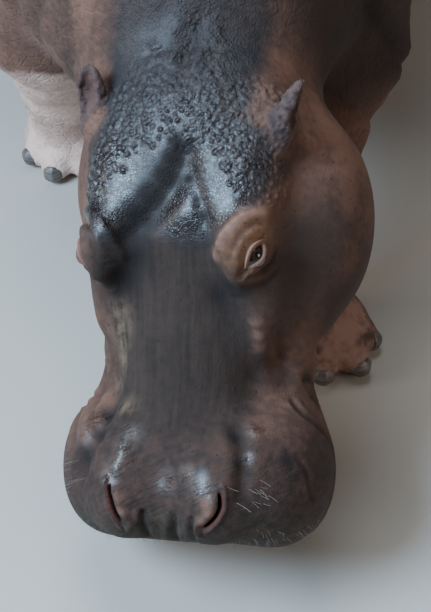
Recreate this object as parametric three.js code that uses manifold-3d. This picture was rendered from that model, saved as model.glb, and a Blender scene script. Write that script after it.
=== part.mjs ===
// A common hippopotamus, an adult of about 1.6 t, walking with its head lowered to the floor.
// Sizes are in millimetres. It faces -Y, its left side is +X, and its soles stand on z = 0.
//
// The flesh is one smooth function, a blend of named masses such as the barrel, the jowls and the lip pads.
// The function is meshed region by region, finely on the head and coarsely on the trunk, and thin flat cuts
// between the regions part it into the pieces that a person would name.
import * as THREE from "three";
import { mergeVertices } from "three/addons/utils/BufferGeometryUtils.js";
import Module from "manifold-3d";

// ---------------------------------------------------------------- driving dimensions

const GAP = 0.3; // clearance left by every cut
const LEFT = 1;
const RIGHT = -1;
const SIDES = { left: LEFT, right: RIGHT };

// Mesh steps of the regions.
const TRUNK_STEP = 135;
const NECK_STEP = 84;
const LEG_STEP = 75;
const FOOT_STEP = 38;
const HEAD_STEP = 42;
const TAIL_STEP = 36;
const EAR_STEP = 15;

// The head has its own frame: x to the animal's left, y back from the muzzle to the nape, z up from the forehead.
const POLL = new THREE.Vector3(-25, -540, 850); // the top of the head between the ears
const NOSE_DOWN = 45; // degrees below level
const HEAD_TURN = 1.8; // degrees, muzzle to the animal's right
const HEAD_ROLL = 20; // degrees, left cheek up
const MUZZLE_TIP = 800; // from the poll
const EYE_RADIUS = 25;
const EYE = { x: 148, y: -292, z: -22 };

// Each ear stands on the head along its own line, with its hollow turned its own way, in the head's frame.
const EARS = {
  left: { at: [174, -80, -64], along: [0.47, 0.8, 0.36], hollow: [0.85, -0.45, -0.2] },
  right: { at: [-172, -50, -62], along: [0.2, 0.77, 0.6], hollow: [-0.3, -0.5, 0.8] },
};
const EAR = {
  leaf: { at: [0, 48, 0], half: [28, 56, 17] },
  hollow: { at: [0, 58, 14], half: [19, 40, 18] },
  root: [
    [0, -24, 0, 22],
    [0, 22, -2, 17],
  ],
};

// Soft blends where one mass runs into another.
const TRUNK_BLEND = 150;
const NECK_BLEND = 80;
const LIMB_BLEND = 95;
const JOINT_BLEND = 40;
const TOE_BLEND = 22;
const EAR_BLEND = 6;
const HEAD_BLEND = 62;
const FACE_BLEND = 48;

const ANKLE = 150; // height of the cut between leg and foot
const FOOT_RADIUS = 104;
const TOE_ANGLES = [-58, -19, 19, 58]; // degrees from the foot's heading
const TOE_REACH = [86, 106, 106, 86];
const NAIL = { half: [27, 29, 27], ahead: 16, height: 33 };

// Each leg is a chain of joints, [x out from the midline, y, z, radius], ending over the foot's centre. The leg
// piece is what lies below a sloping plane of the flank, inside an outline seen from the side: [y, z] corners.
const LEGS = {
  foreleg_left: {
    side: LEFT,
    foot: { name: "forefoot_left", heading: 18, at: [272, -336] },
    chain: [
      [262, 30, 840, 190],
      [296, 0, 530, 138],
      [250, -100, 400, 104],
      [236, -262, 215, 76],
      [252, -308, 95, 76],
    ],
    outline: [[-560, -200], [170, -200], [170, 900], [-215, 900], [-300, 450], [-560, 290]],
  },
  foreleg_right: {
    side: RIGHT,
    foot: { name: "forefoot_right", heading: -4, at: [288, 290] },
    chain: [
      [262, 60, 840, 190],
      [290, 80, 520, 134],
      [290, 150, 390, 104],
      [294, 246, 215, 82],
      [290, 282, 95, 86],
    ],
    outline: [[-110, -200], [560, -200], [560, 290], [330, 400], [330, 900], [-110, 900]],
  },
  hindleg_left: {
    side: LEFT,
    foot: { name: "hindfoot_left", heading: 12, at: [300, 1600] },
    chain: [
      [225, 1410, 860, 250],
      [300, 1360, 590, 172],
      [300, 1620, 290, 100],
      [300, 1618, 95, 90],
    ],
    outline: [[1130, -200], [2400, -200], [2400, 900], [1130, 900]],
  },
  hindleg_right: {
    side: RIGHT,
    foot: { name: "hindfoot_right", heading: 10, at: [300, 1180] },
    chain: [
      [225, 1390, 860, 250],
      [300, 1200, 580, 168],
      [300, 1262, 270, 100],
      [300, 1202, 95, 90],
    ],
    outline: [[900, -200], [1640, -200], [1640, 900], [900, 900]],
  },
};
const FLANK = { inner: 20, start: 425, slope: 36 }; // the plane starts here near the midline and rises outwards

// Ellipsoids: centre and half sizes.
const TRUNK_MASSES = [
  { name: "barrel", at: [0, 800, 885], half: [600, 1000, 475] },
  { name: "belly", at: [0, 860, 690], half: [500, 760, 300] },
  { name: "shoulders", at: [0, 60, 860], half: [385, 430, 420] },
  { name: "rump", at: [0, 1490, 890], half: [450, 430, 415] },
];

// In the head's frame. A mass with x > 0 is made on both sides, or on its own side only where it has one: the
// jowls are soft, and on the rolled head the upper one bulges forwards and the lower one hangs back.
const SKULL_MASSES = [
  { name: "cranium", at: [0, -155, -165], half: [182, 235, 156], power: 2.6 },
  { name: "bridge", at: [0, -450, -150], half: [128, 270, 112] },
  { name: "muzzle", at: [0, -676, -164], half: [204, 122, 152], power: 3 },
  { name: "lip_pad", at: [160, -668, -190], half: [86, 126, 120] },
  { name: "jowl_left", at: [176, -222, -262], half: [112, 188, 150], side: LEFT },
  { name: "jowl_right", at: [164, -168, -262], half: [104, 150, 150], side: RIGHT },
  { name: "jaw_side", at: [128, -410, -232], half: [74, 240, 88] },
  { name: "chin", at: [0, -600, -262], half: [165, 140, 66] },
  { name: "throat", at: [0, -240, -280], half: [190, 300, 120] },
];
const FACE_MASSES = [
  { name: "brow", at: [128, -288, -24], half: [36, 58, 46] },
  { name: "temple", at: [114, -190, -64], half: [56, 105, 52] },
  { name: "ear_root", at: [148, -58, -86], half: [34, 46, 38] },
  { name: "cheekbone", at: [134, -330, -120], half: [50, 120, 62] },
  { name: "nostril", at: [84, -700, -42], half: [52, 80, 50] },
];

// ---------------------------------------------------------------- the flesh as a function, negative inside

const smoothMin = (a, b, blend) => {
  const near = Math.max(blend - Math.abs(a - b), 0) / blend;
  return Math.min(a, b) - (near * near * blend) / 4;
};

const degrees = THREE.MathUtils.degToRad;

const headFrame = new THREE.Matrix4()
  .makeTranslation(POLL)
  .multiply(new THREE.Matrix4().makeRotationX(degrees(NOSE_DOWN)))
  .multiply(new THREE.Matrix4().makeRotationZ(degrees(-HEAD_TURN)))
  .multiply(new THREE.Matrix4().makeRotationY(degrees(-HEAD_ROLL)));
const intoHead = headFrame.clone().invert();

// A superellipsoid: power 2 is a plain ellipsoid, and a higher power is squarer.
function ellipsoid(p, at, half, side = LEFT, power = 2) {
  const shares = [p.x - at[0] * side, p.y - at[1], p.z - at[2]].map((v, k) => Math.abs(v) / half[k]);
  const near = shares.reduce((sum, v) => sum + v ** power, 0) ** (1 / power);
  if (near < 1e-6) return -Math.min(...half);
  const slope = Math.hypot(...shares.map((v, k) => (v / near) ** (power - 1) / half[k]));
  return (near - 1) / slope;
}

function roundCone(p, a, ra, b, rb) {
  const along = new THREE.Vector3().subVectors(b, a);
  const share = new THREE.Vector3().subVectors(p, a).dot(along) / along.lengthSq();
  const t = THREE.MathUtils.clamp(share, 0, 1);
  return p.distanceTo(along.multiplyScalar(t).add(a)) - THREE.MathUtils.lerp(ra, rb, t);
}

const blendMasses = (p, masses, blend, start) =>
  masses.reduce((value, mass) => {
    const sides = mass.side ? [mass.side] : mass.at[0] ? [LEFT, RIGHT] : [LEFT];
    return sides.reduce((v, side) => smoothMin(v, ellipsoid(p, mass.at, mass.half, side, mass.power), blend), value);
  }, start);

function skull(world) {
  const p = world.clone().applyMatrix4(intoHead);
  const whole = blendMasses(p, SKULL_MASSES, HEAD_BLEND, Infinity);
  return blendMasses(p, FACE_MASSES, FACE_BLEND, whole);
}

const NECK = {
  base: new THREE.Vector3(0, 40, 900),
  baseRadius: 300,
  top: new THREE.Vector3(36, -405, 655),
  topRadius: 196,
};
const neck = (p) => roundCone(p, NECK.base, NECK.baseRadius, NECK.top, NECK.topRadius);

const TAIL = {
  chain: [
    [0, 1850, 1110, 72],
    [0, 1948, 1010, 46],
    [0, 1996, 830, 32],
    [0, 2000, 690, 20],
  ],
  flatness: 0.62, // thickness over depth
};
function tail(p) {
  const q = new THREE.Vector3(p.x / TAIL.flatness, p.y, p.z);
  return chain(q, TAIL.chain, LEFT, TOE_BLEND) * TAIL.flatness;
}

function chain(p, joints, side, blend) {
  const points = joints.map(([x, y, z]) => new THREE.Vector3(x * side, y, z));
  let value = Infinity;
  for (let i = 1; i < joints.length; i++) {
    const part = roundCone(p, points[i - 1], joints[i - 1][3], points[i], joints[i][3]);
    value = smoothMin(value, part, blend);
  }
  return value;
}

// The foot's own frame has the toes towards -Y.
const footFrame = ({ side, foot }) =>
  new THREE.Matrix4()
    .makeTranslation(foot.at[0] * side, foot.at[1], 0)
    .multiply(new THREE.Matrix4().makeRotationZ(degrees(foot.heading * side)));
const footFrames = Object.fromEntries(Object.entries(LEGS).map(([name, plan]) => [name, footFrame(plan)]));
const intoFoot = Object.fromEntries(Object.entries(footFrames).map(([name, frame]) => [name, frame.clone().invert()]));

const toePoint = (i, reach, z) => {
  const angle = degrees(TOE_ANGLES[i]);
  return new THREE.Vector3(Math.sin(angle) * reach, -Math.cos(angle) * reach, z);
};

function leg(world, name) {
  const limb = chain(world, LEGS[name].chain, LEGS[name].side, JOINT_BLEND);
  const p = world.clone().applyMatrix4(intoFoot[name]);
  let value = smoothMin(limb, ellipsoid(p, [0, 8, 46], [FOOT_RADIUS, FOOT_RADIUS, 62]), TOE_BLEND * 2);
  TOE_ANGLES.forEach((_, i) => {
    const toe = roundCone(p, toePoint(i, 40, 62), 44, toePoint(i, TOE_REACH[i], 37), 35);
    value = smoothMin(value, toe, TOE_BLEND);
  });
  return value;
}

function flesh(p) {
  let value = blendMasses(p, TRUNK_MASSES, TRUNK_BLEND, Infinity);
  value = smoothMin(value, neck(p), TRUNK_BLEND);
  value = smoothMin(value, skull(p), NECK_BLEND);
  for (const name of Object.keys(LEGS)) value = smoothMin(value, leg(p, name), LIMB_BLEND);
  return smoothMin(value, tail(p), LIMB_BLEND / 2);
}

// An ear, in its own frame: y along it and z out of its hollow.
function ear(p) {
  const leaf = smoothMin(ellipsoid(p, EAR.leaf.at, EAR.leaf.half), chain(p, EAR.root, LEFT, EAR_BLEND), EAR_BLEND * 2);
  return -smoothMin(-leaf, ellipsoid(p, EAR.hollow.at, EAR.hollow.half), EAR_BLEND);
}
function earFrame({ at, along, hollow }) {
  const y = new THREE.Vector3(...along).normalize();
  const x = new THREE.Vector3().crossVectors(y, new THREE.Vector3(...hollow)).normalize();
  const z = new THREE.Vector3().crossVectors(x, y);
  return headFrame.clone().multiply(new THREE.Matrix4().makeBasis(x, y, z).setPosition(...at));
}

// ---------------------------------------------------------------- meshing

// Moves a point onto the zero level of a function, along its slope.
function settle(p, f, reach) {
  const tiny = 0.5;
  for (let pass = 0; pass < 4; pass++) {
    const here = f(p);
    const slope = new THREE.Vector3(
      f(new THREE.Vector3(p.x + tiny, p.y, p.z)) - here,
      f(new THREE.Vector3(p.x, p.y + tiny, p.z)) - here,
      f(new THREE.Vector3(p.x, p.y, p.z + tiny)) - here,
    ).divideScalar(tiny);
    const move = slope.multiplyScalar(-here / Math.max(slope.lengthSq(), 0.05));
    p.add(move.clampLength(0, reach / 4));
  }
  return p;
}

// The surface where f is zero inside a box of the given frame: one vertex in each grid cell that the surface
// crosses, and one quad round each grid edge that it crosses. The box closes what runs out of it.
function surface(f, frame, low, high, step) {
  const counts = low.map((v, k) => Math.ceil((high[k] - v) / step) + 1);
  const [nx, ny, nz] = counts;
  const place = (i, j, k) => new THREE.Vector3(low[0] + i * step, low[1] + j * step, low[2] + k * step);
  const key = (i, j, k) => (k * ny + j) * nx + i;
  const outer = (i, j, k) => !i || !j || !k || i === nx - 1 || j === ny - 1 || k === nz - 1;
  const values = new Float64Array(nx * ny * nz);
  for (let k = 0; k < nz; k++)
    for (let j = 0; j < ny; j++)
      for (let i = 0; i < nx; i++)
        values[key(i, j, k)] = outer(i, j, k) ? step : f(place(i, j, k).applyMatrix4(frame));

  const corners = [0, 1, 2, 3, 4, 5, 6, 7].map((c) => [c & 1, (c >> 1) & 1, c >> 2]);
  const vertices = [];
  const vertexOf = new Map();
  for (let k = 0; k < nz - 1; k++)
    for (let j = 0; j < ny - 1; j++)
      for (let i = 0; i < nx - 1; i++) {
        const v = corners.map(([a, b, c]) => values[key(i + a, j + b, k + c)]);
        if (v.every((x) => x < 0) || v.every((x) => x >= 0)) continue;
        const sum = new THREE.Vector3();
        let crossings = 0;
        corners.forEach((a, m) =>
          corners.forEach((b, n) => {
            const steps = Math.abs(a[0] - b[0]) + Math.abs(a[1] - b[1]) + Math.abs(a[2] - b[2]);
            if (n <= m || steps !== 1 || v[m] < 0 === v[n] < 0) return;
            const t = v[m] / (v[m] - v[n]);
            sum.add(new THREE.Vector3().lerpVectors(new THREE.Vector3(...a), new THREE.Vector3(...b), t));
            crossings++;
          }),
        );
        const local = place(i, j, k).addScaledVector(sum, step / crossings);
        vertexOf.set(key(i, j, k), vertices.length);
        const edge = outer(i, j, k) || i === nx - 2 || j === ny - 2 || k === nz - 2;
        const point = local.applyMatrix4(frame);
        vertices.push(edge ? point : settle(point, f, step));
      }

  const triangles = [];
  const quad = (a, b, c, d) => {
    const short = vertices[a].distanceTo(vertices[c]) < vertices[b].distanceTo(vertices[d]);
    triangles.push(...(short ? [a, b, c, a, c, d] : [b, c, d, b, d, a]));
  };
  for (let k = 0; k < nz - 1; k++)
    for (let j = 0; j < ny - 1; j++)
      for (let i = 0; i < nx - 1; i++) {
        const here = values[key(i, j, k)] < 0;
        const round = [
          [[1, 0, 0], [0, -1, -1], [0, 0, -1], [0, 0, 0], [0, -1, 0]],
          [[0, 1, 0], [-1, 0, -1], [-1, 0, 0], [0, 0, 0], [0, 0, -1]],
          [[0, 0, 1], [-1, -1, 0], [0, -1, 0], [0, 0, 0], [-1, 0, 0]],
        ];
        for (const [ahead, ...cells] of round) {
          const there = values[key(i + ahead[0], j + ahead[1], k + ahead[2])] < 0;
          if (here === there) continue;
          const ring = cells.map(([a, b, c]) => vertexOf.get(key(i + a, j + b, k + c)));
          quad(...(here ? ring : ring.reverse()));
        }
      }
  const geometry = new THREE.BufferGeometry();
  geometry.setAttribute("position", new THREE.Float32BufferAttribute(vertices.flatMap((v) => v.toArray()), 3));
  geometry.setIndex(triangles);
  return geometry;
}

// ---------------------------------------------------------------- solids

const wasm = await Module();
wasm.setup();

function solid(geometry) {
  const bare = new THREE.BufferGeometry();
  bare.setAttribute("position", geometry.getAttribute("position"));
  bare.setIndex(geometry.getIndex());
  const merged = mergeVertices(bare, 1e-3);
  return new wasm.Manifold(
    new wasm.Mesh({
      numProp: 3,
      vertProperties: new Float32Array(merged.attributes.position.array),
      triVerts: new Uint32Array(merged.index.array),
    }),
  );
}

function geometryOf(manifold) {
  const mesh = manifold.getMesh();
  const geometry = new THREE.BufferGeometry();
  geometry.setAttribute("position", new THREE.BufferAttribute(mesh.vertProperties, 3));
  geometry.setIndex(new THREE.BufferAttribute(mesh.triVerts, 1));
  geometry.computeVertexNormals();
  return geometry;
}

const LARGE = 6000;
const WORLD = new THREE.Matrix4();

// A box given by its lowest and highest corners in a frame.
function box(low, high, frame = WORLD) {
  const size = high.map((v, k) => v - low[k]);
  const geometry = new THREE.BoxGeometry(...size);
  geometry.translate(...low.map((v, k) => v + size[k] / 2));
  return solid(geometry.applyMatrix4(frame));
}

// The flesh grown outwards by the gap, for cutting what is set into it.
function grown(manifold, by = GAP) {
  const geometry = geometryOf(manifold);
  const { position, normal } = geometry.attributes;
  for (let i = 0; i < position.count; i++) {
    position.setXYZ(
      i,
      position.getX(i) + normal.getX(i) * by,
      position.getY(i) + normal.getY(i) * by,
      position.getZ(i) + normal.getZ(i) * by,
    );
  }
  return solid(geometry);
}

// ---------------------------------------------------------------- cuts between the pieces

// The two cuts of the neck are flat and lean back from the head to the shoulders.
const neckCut = (y, z, lean) =>
  new THREE.Matrix4().makeTranslation(0, y, z).multiply(new THREE.Matrix4().makeRotationX(degrees(lean)));
const NAPE_CUT = neckCut(-380, 715, 33);
const CHEST_CUT = neckCut(-175, 820, 22);

// The jaw lies below a sloping plane from the mouth's corner, behind the lips.
const MOUTH_CUT = headFrame
  .clone()
  .multiply(new THREE.Matrix4().makeTranslation(0, -400, -205))
  .multiply(new THREE.Matrix4().makeRotationX(degrees(3)));

// The parts of space on either side of a cut, each half a gap away from it.
const ahead = (frame, gap = GAP / 2) => box([-LARGE, -LARGE, -LARGE], [LARGE, -gap, LARGE], frame);
const behind = (frame, gap = GAP / 2) => box([-LARGE, gap, -LARGE], [LARGE, LARGE, LARGE], frame);
const below = (frame, gap = GAP / 2) => box([-LARGE, -LARGE, -LARGE], [LARGE, LARGE, -gap], frame);
const above = (frame, gap = GAP / 2) => box([-LARGE, -LARGE, gap], [LARGE, LARGE, LARGE], frame);
const level = (z) => new THREE.Matrix4().makeTranslation(0, 0, z);
const FLOOR = above(WORLD, 0);

// An outline with each of its sides moved outwards; its corners run anticlockwise.
const widened = (corners, by) =>
  corners.map((corner, i) => {
    const [before, here, after] = [corners.at(i - 1), corner, corners[(i + 1) % corners.length]].map(
      ([y, z]) => new THREE.Vector2(y, z),
    );
    const outward = (from, to) => new THREE.Vector2(to.y - from.y, from.x - to.x).normalize();
    const [a, b] = [outward(before, here), outward(here, after)];
    return here.addScaledVector(a.clone().add(b), by / (1 + a.dot(b))).toArray();
  });

// The part of space that a leg takes, which the trunk and the neck leave free.
function legSpace({ side, outline }, slack = 0) {
  const shape = new THREE.Shape(widened(outline, slack).map(([y, z]) => new THREE.Vector2(y, z)));
  const reach = new THREE.ExtrudeGeometry(shape, { depth: LARGE, bevelEnabled: false });
  reach.applyMatrix4(new THREE.Matrix4().makeBasis(...[[0, 1, 0], [0, 0, 1], [1, 0, 0]].map((v) => new THREE.Vector3(...v))));
  const out = side === LEFT ? FLANK.inner - slack : slack - FLANK.inner - LARGE;
  const flank = level(FLANK.start).multiply(new THREE.Matrix4().makeRotationY(degrees(-FLANK.slope * side)));
  return solid(reach.translate(out, 0, 0)).intersect(below(flank, -slack));
}

const TAIL_SPACE = [
  [-150, 1930, 300],
  [150, LARGE, 1200],
];

// ---------------------------------------------------------------- pieces

const pieces = {};

const eyeAt = (side) => new THREE.Vector3(EYE.x * side, EYE.y, EYE.z).applyMatrix4(headFrame);
const ball = (radius, at) => solid(new THREE.SphereGeometry(radius, 10, 7).translate(at.x, at.y, at.z));

const legSpaces = Object.values(LEGS).map((plan) => legSpace(plan, GAP));
const withoutLegs = (manifold) => legSpaces.reduce((left, space) => left.subtract(space), manifold);

const skullFlesh = solid(surface(flesh, headFrame, [-380, -870, -500], [380, 300, 130], HEAD_STEP));
let head = withoutLegs(skullFlesh.intersect(ahead(NAPE_CUT)));
for (const [name, side] of Object.entries(SIDES)) {
  pieces[`eye_${name}`] = ball(EYE_RADIUS, eyeAt(side));
  head = head.subtract(ball(EYE_RADIUS + GAP, eyeAt(side)));
}
pieces.head = head.intersect(above(MOUTH_CUT));
pieces.jaw = head.intersect(below(MOUTH_CUT));

for (const [name, plan] of Object.entries(EARS)) {
  const frame = earFrame(plan);
  const into = frame.clone().invert();
  const whole = surface((p) => ear(p.clone().applyMatrix4(into)), frame, [-44, -60, -34], [44, 122, 40], EAR_STEP);
  pieces[`ear_${name}`] = solid(whole).subtract(grown(skullFlesh));
}

const neckFlesh = solid(surface(flesh, WORLD, [-520, -700, 250], [520, 140, 1400], NECK_STEP));
pieces.neck = withoutLegs(neckFlesh.intersect(behind(NAPE_CUT)).intersect(ahead(CHEST_CUT)));

const trunkFlesh = solid(surface(flesh, WORLD, [-750, -500, 180], [750, 2200, 1530], TRUNK_STEP));
const tailSpace = box(
  TAIL_SPACE[0].map((v) => v - GAP),
  TAIL_SPACE[1].map((v) => v + GAP),
);
pieces.trunk = withoutLegs(trunkFlesh.intersect(behind(CHEST_CUT))).subtract(tailSpace);
pieces.tail = solid(surface(flesh, WORLD, [-140, 1860, 560], [140, 2120, 1240], TAIL_STEP)).intersect(box(...TAIL_SPACE));

const nailBall = new THREE.SphereGeometry(1, 7, 5).rotateX(Math.PI / 2).scale(...NAIL.half);
for (const [name, plan] of Object.entries(LEGS)) {
  const ys = plan.outline.map(([y]) => y);
  const [low, high] = [Math.max(Math.min(...ys), -500) - 90, Math.min(Math.max(...ys), 1900) + 90];
  const x = plan.side === LEFT ? [-40, 680] : [-680, 40];
  const space = legSpace(plan);
  const legFlesh = solid(surface(flesh, WORLD, [x[0], low, 40], [x[1], high, 960], LEG_STEP));
  pieces[name] = legFlesh.intersect(space).intersect(above(level(ANKLE)));

  const frame = footFrames[name];
  const footFlesh = solid(surface(flesh, frame, [-190, -220, -70], [190, 200, ANKLE + 80], FOOT_STEP));
  pieces[plan.foot.name] = footFlesh.intersect(FLOOR).intersect(below(level(ANKLE)));
  const toes = grown(footFlesh);
  TOE_ANGLES.forEach((angle, i) => {
    const at = toePoint(i, TOE_REACH[i] + NAIL.ahead, NAIL.height);
    const turned = nailBall.clone().rotateZ(degrees(angle)).translate(at.x, at.y, at.z).applyMatrix4(frame);
    pieces[`nail_${plan.foot.name}_${i + 1}`] = solid(turned).subtract(toes);
  });
}

// ---------------------------------------------------------------- the group, with its origin midway on the floor

const whole = new THREE.Box3();
for (const piece of Object.values(pieces)) {
  const { min, max } = piece.boundingBox();
  whole.union(new THREE.Box3(new THREE.Vector3(...min), new THREE.Vector3(...max)));
}
const middle = whole.getCenter(new THREE.Vector3());

const finishOf = (name) => {
  if (name.startsWith("eye")) return { color: 0x1c130d, roughness: 0.08 };
  if (name.startsWith("nail")) return { color: 0x3d3a3c, roughness: 0.35 };
  if (/foot|leg/.test(name)) return { color: 0xa87766, roughness: 0.55 };
  if (/trunk|tail/.test(name)) return { color: 0x6b5049, roughness: 0.5 };
  return { color: 0x4f3d3b, roughness: 0.42 };
};

const group = new THREE.Group();
group.name = "hippopotamus";
for (const [name, piece] of Object.entries(pieces)) {
  const geometry = geometryOf(piece).translate(-middle.x, -middle.y, 0);
  const mesh = new THREE.Mesh(geometry, new THREE.MeshStandardMaterial({ ...finishOf(name), metalness: 0 }));
  mesh.name = name;
  group.add(mesh);
}
export default group;
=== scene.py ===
# %% [markdown]
# # A hippopotamus with its head lowered
# This lesson dresses a plain, faceted hippopotamus in one living skin. The solids bring the size and the
# pose; everything that makes the animal look alive, such as folds, lids, warts and wet hide, is made here.
# It starts by opening the frame that the solids share with this scene.

from math import cos, pi, radians, sin

import bmesh
import bpy
import numpy as np
from mathutils import Matrix, Vector


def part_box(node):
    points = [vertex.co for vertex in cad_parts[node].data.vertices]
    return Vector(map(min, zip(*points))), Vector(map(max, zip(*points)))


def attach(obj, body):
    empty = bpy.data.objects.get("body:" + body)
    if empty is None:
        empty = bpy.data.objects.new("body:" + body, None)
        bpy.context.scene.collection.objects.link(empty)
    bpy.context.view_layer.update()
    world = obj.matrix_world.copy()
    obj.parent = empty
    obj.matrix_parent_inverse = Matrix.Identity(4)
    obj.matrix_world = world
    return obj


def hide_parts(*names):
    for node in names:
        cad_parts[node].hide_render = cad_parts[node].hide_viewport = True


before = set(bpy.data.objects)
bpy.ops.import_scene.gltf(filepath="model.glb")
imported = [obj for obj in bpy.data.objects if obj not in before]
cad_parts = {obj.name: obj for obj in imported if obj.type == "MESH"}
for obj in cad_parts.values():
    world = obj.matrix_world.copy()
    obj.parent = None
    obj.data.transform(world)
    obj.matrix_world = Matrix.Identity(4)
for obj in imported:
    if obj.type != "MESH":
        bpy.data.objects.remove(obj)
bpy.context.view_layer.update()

# %% [markdown]
# ## The camera
# A big animal is usually met from a bank or a platform, looking down on its head. A long lens from just over
# three metres keeps the muzzle from swelling, and it comes first because every later choice is judged in it.

# %% Find where the drawing's origin lies
POLL, EYE = np.array((-25.0, -540.0, 850.0)), np.array((148.0, -292.0, -22.0))
HEAD_TURN = Matrix.Rotation(radians(45), 3, "X") @ Matrix.Rotation(radians(-1.8), 3, "Z") @ Matrix.Rotation(
    radians(-20), 3, "Y")
HEAD = np.array(HEAD_TURN)
eye_low, eye_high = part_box("eye_left")
eye_middle = np.array(eye_low + eye_high) / 2 * 1000
SHIFT = (HEAD @ EYE + POLL - eye_middle) * (0, 1, 0)
print("the sizes below are drawn", SHIFT.round(2), "mm from the frame's origin")

# %% Set the camera
def link(name, data):
    made = bpy.data.objects.new(name, data)
    bpy.context.scene.collection.objects.link(made)
    return made


lens = bpy.data.cameras.new("long_lens")
lens.lens = 109.18
lens.sensor_width = 36
camera = link("camera", lens)
camera.location = (0.05, -3.04274 - SHIFT[1] / 1000, 2.81274)
camera.rotation_euler = (radians(45), 0, 0)
bpy.context.scene.camera = camera
print("camera looks down at 45 degrees from", tuple(round(v, 2) for v in camera.location))

# %% [markdown]
# ## Light and floor
# Wet hide shows its light more than its colour. A wide cool softbox stands in for open sky. It hangs ahead of
# the animal on its right, because brow, crown and muzzle face that way and mirror it. A weaker one overhead
# lights the back, and two weak warm panels open the shade. The floor is plain and pale, so nothing competes.

# %% Hang the softboxes and lay the floor
def softbox(name, at, aim, size, watts, colour):
    data = bpy.data.lights.new(name, "AREA")
    data.shape, data.size, data.energy, data.color = "DISK", size, watts, colour
    lamp = link(name, data)
    lamp.location = at
    lamp.rotation_euler = (Vector(aim) - Vector(at)).to_track_quat("-Z", "Y").to_euler()


softbox("sky", (-3.0, -2.9, 3.9), (0, -1.0, 0.6), 2.3, 590, (0.53, 0.75, 1.0))
softbox("overhead", (-0.4, -0.3, 4.4), (0, -0.5, 0.6), 2.4, 110, (0.84, 0.92, 1.0))
softbox("warm_fill", (3.6, -3.2, 2.2), (0.2, -0.8, 0.5), 2.4, 60, (1.0, 0.84, 0.70))
softbox("side_window", (-4.2, -1.6, 2.2), (-0.2, -0.6, 0.6), 2.0, 60, (1.0, 0.90, 0.80))
world = bpy.data.worlds.new("studio")
world.use_nodes = True
world.node_tree.nodes["Background"].inputs["Color"].default_value = (0.62, 0.70, 0.80, 1)
world.node_tree.nodes["Background"].inputs["Strength"].default_value = 0.09
bpy.context.scene.world = world

ground = bpy.data.meshes.new("studio_floor")
ground.from_pydata([(-9, -9, 0), (9, -9, 0), (9, 9, 0), (-9, 9, 0)], [], [(0, 1, 2, 3)])
studio_floor = link("studio_floor", ground)
print("four softboxes and a floor 18 m wide")

# %% [markdown]
# ## Arithmetic that makes nodes
# A hide is a sum of many patterns. Written as node calls that sum is unreadable, so one small class wraps an
# output socket and lets ordinary arithmetic lay the Math nodes. Colours are blended by Mix nodes instead.

# %% Wrap a socket
class Wire:
    """One output of a material's node; arithmetic on it adds Math nodes."""

    def __init__(self, socket):
        self.socket = socket

    @staticmethod
    def node(tree, kind, settings, values, output=0):
        """Add a node of any kind: its settings first, then its sockets' values or links."""
        made = tree.nodes.new(kind)
        for name, value in settings.items():
            setattr(made, name, value)
        for key, value in values.items():
            if isinstance(value, Wire):
                tree.links.new(value.socket, made.inputs[key])
            else:
                made.inputs[key].default_value = value
        return Wire(made.outputs[output])

    def _math(self, operation, first, second):
        tree = self.socket.id_data
        return Wire.node(tree, "ShaderNodeMath", {"operation": operation}, {0: first, 1: second})

    def __add__(self, other):
        return self._math("ADD", self, other)

    def __sub__(self, other):
        return self._math("SUBTRACT", self, other)

    def __rsub__(self, other):
        return self._math("SUBTRACT", other, self)

    def __mul__(self, other):
        return self._math("MULTIPLY", self, other)

    __radd__, __rmul__ = __add__, __mul__

    def between(self, low, high):
        """0 below low, 1 above high, and smooth between them."""
        return Wire.node(self.socket.id_data, "ShaderNodeMapRange", {"interpolation_type": "SMOOTHSTEP"},
                         {"Value": self, "From Min": low, "From Max": high})

    def blend(self, first, second):
        """The first colour where this is 0 and the second where it is 1; colours have their own sockets."""
        return Wire.node(self.socket.id_data, "ShaderNodeMix", {"data_type": "RGBA"},
                         {0: self, 6: first, 7: second}, 2)


def start_material(name, **constants):
    """A new material, its tree and its shader, with what is the same all over set on the shader itself."""
    made = bpy.data.materials.new(name)
    made.use_nodes = True
    shader = made.node_tree.nodes["Principled BSDF"]
    for key, value in constants.items():
        shader.inputs[key.replace("_", " ")].default_value = value
    return made, made.node_tree, shader


def feed(shader, **wires):
    """Link wires to the shader's sockets of those names."""
    for key, wire in wires.items():
        shader.id_data.links.new(wire.socket, shader.inputs[key.replace("_", " ")])


def read(tree, name):
    """The number that a mesh keeps at each point under this name."""
    return Wire.node(tree, "ShaderNodeAttribute", {"attribute_name": name}, {}, 2)


def bumped(tree, height):
    """The surface's direction, tilted by a height in metres."""
    return Wire.node(tree, "ShaderNodeBump", {}, {"Height": height, "Strength": 1.0, "Distance": 1.0})


def repaint(mesh, paint):
    mesh.materials.clear()
    mesh.materials.append(paint)


repaint(ground, start_material("pale_floor", Roughness=0.9, Base_Color=(0.46, 0.44, 0.40, 1))[0])
print("floor painted")

# %% [markdown]
# ## The body as a formula
# The solids came from one formula: egg shapes and tapered rods that melt into each other. Repeating it here
# lets any point ask how far it is from the hide, so a rough mesh can be settled onto the true, smooth body.
# Sizes are in millimetres, with the muzzle towards -Y and a head frame hung from the poll.

# %% Set the head's own frame
def to_plan(metres):
    return metres * 1000 + SHIFT


def to_head(metres):
    """Left, back and up from the poll, in millimetres."""
    return (to_plan(metres) - POLL) @ HEAD


def from_head(places):
    return (np.asarray(places, float) @ HEAD.T + POLL - SHIFT) / 1000


print("poll at", from_head([[0, 0, 0]]).round(3).tolist())

# %% Measure to an egg, a tapered rod and a melted pair
def melt(a, b, reach):
    near = np.maximum(reach - np.abs(a - b), 0) / reach
    return np.minimum(a, b) - near * near * reach / 4


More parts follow.
